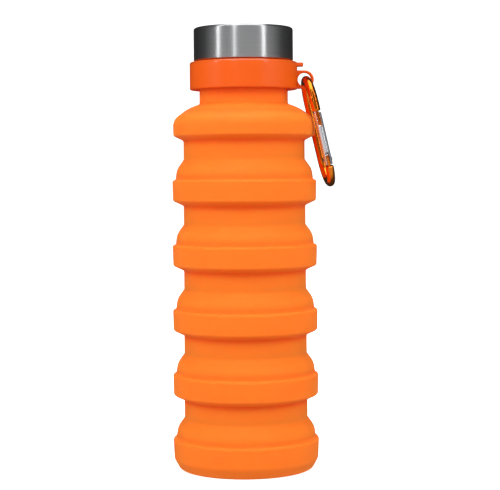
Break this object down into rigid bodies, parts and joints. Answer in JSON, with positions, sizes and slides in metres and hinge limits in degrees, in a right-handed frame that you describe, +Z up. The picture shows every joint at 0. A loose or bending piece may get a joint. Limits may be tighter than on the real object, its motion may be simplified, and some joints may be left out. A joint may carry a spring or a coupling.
{
  "type": "folding water bottle",
  "caption": "Folding silicone water bottle with stacked bands, a steel screw lid, a collar with a lug, and a snap hook.",
  "frame": {"origin": "centre of the flat underside, on the surface the bottle stands on", "axes": "+Z up along the bottle's axis, +X towards the lug and the hook"},
  "size_m": [0.0823, 0.0736, 0.2213],
  "materials": {
    "silicone": "matte",
    "hard_plastic": "gloss",
    "brushed_steel": "brushed",
    "gasket_rubber": "matte",
    "anodised_orange": "anodised, bright",
    "bare_aluminium": "satin",
    "steel": "plated"
  },
  "bodies": {
    "base": {"base_cup": "silicone", "fold_web_1": "silicone"},
    "ring_1": {"fold_ring_1": "silicone", "fold_web_2": "silicone"},
    "ring_2": {"fold_ring_2": "silicone", "fold_web_3": "silicone"},
    "ring_3": {"fold_ring_3": "silicone", "fold_web_4": "silicone"},
    "ring_4": {"fold_ring_4": "silicone", "fold_web_5": "silicone"},
    "shoulder": {"shoulder_neck": "silicone", "collar_ring": "hard_plastic", "threaded_mouth": "hard_plastic"},
    "gasket": {"lid_gasket": "gasket_rubber"},
    "lid": {"lid_shell": "brushed_steel", "lid_liner": "hard_plastic"},
    "carabiner": {"carabiner_frame": "anodised_orange", "gate_rivet": "steel"},
    "gate": {"carabiner_gate": "bare_aluminium", "latch_pin": "steel", "gate_spring": "steel"},
    "plunger": {"gate_plunger": "steel"}
  },
  "joints": [
    {"name": "fold_1", "type": "slide", "parent": "base", "child": "ring_1", "axis": [0, 0, -1], "range_m": [0, 0.015], "deforming": ["fold_web_1"]},
    {"name": "fold_2", "type": "slide", "parent": "ring_1", "child": "ring_2", "axis": [0, 0, -1], "range_m": [0, 0.015], "deforming": ["fold_web_2"]},
    {"name": "fold_3", "type": "slide", "parent": "ring_2", "child": "ring_3", "axis": [0, 0, -1], "range_m": [0, 0.015], "deforming": ["fold_web_3"]},
    {"name": "fold_4", "type": "slide", "parent": "ring_3", "child": "ring_4", "axis": [0, 0, -1], "range_m": [0, 0.015], "deforming": ["fold_web_4"]},
    {"name": "fold_5", "type": "slide", "parent": "ring_4", "child": "shoulder", "axis": [0, 0, -1], "range_m": [0, 0.015], "deforming": ["fold_web_5"]},
    {"name": "lid_rise", "type": "slide", "parent": "shoulder", "child": "gasket", "axis": [0, 0, 1], "range_m": [0, 0.0201]},
    {"name": "lid_turn", "type": "hinge", "parent": "gasket", "child": "lid", "pos_m": [0, 0, 0.2043], "axis": [0, 0, 1], "range_deg": [0, 900]},
    {"name": "carabiner_swing", "type": "hinge", "parent": "shoulder", "child": "carabiner", "pos_m": [0.03125, 0.0013, 0.19525], "axis": [0, -1, 0], "range_deg": [0, 150]},
    {"name": "gate_open", "type": "hinge", "parent": "carabiner", "child": "gate", "pos_m": [0.04148, -0.00916, 0.15543], "axis": [-0.9702, -0.0837, -0.2272], "range_deg": [0, 12], "stiffness_Nm_per_rad": 0.01, "springref_deg": -28.65},
    {"name": "plunger_push", "type": "slide", "parent": "gate", "child": "plunger", "axis": [-0.2218, -0.0693, 0.9726], "range_m": [0, 0.0005], "stiffness_N_per_m": 3, "springref_m": -0.0005, "deforming": ["gate_spring"]}
  ],
  "couplings": [
    {"joint": "lid_rise", "follows": "lid_turn", "m_per_rad": 0.0012732}
  ]
}
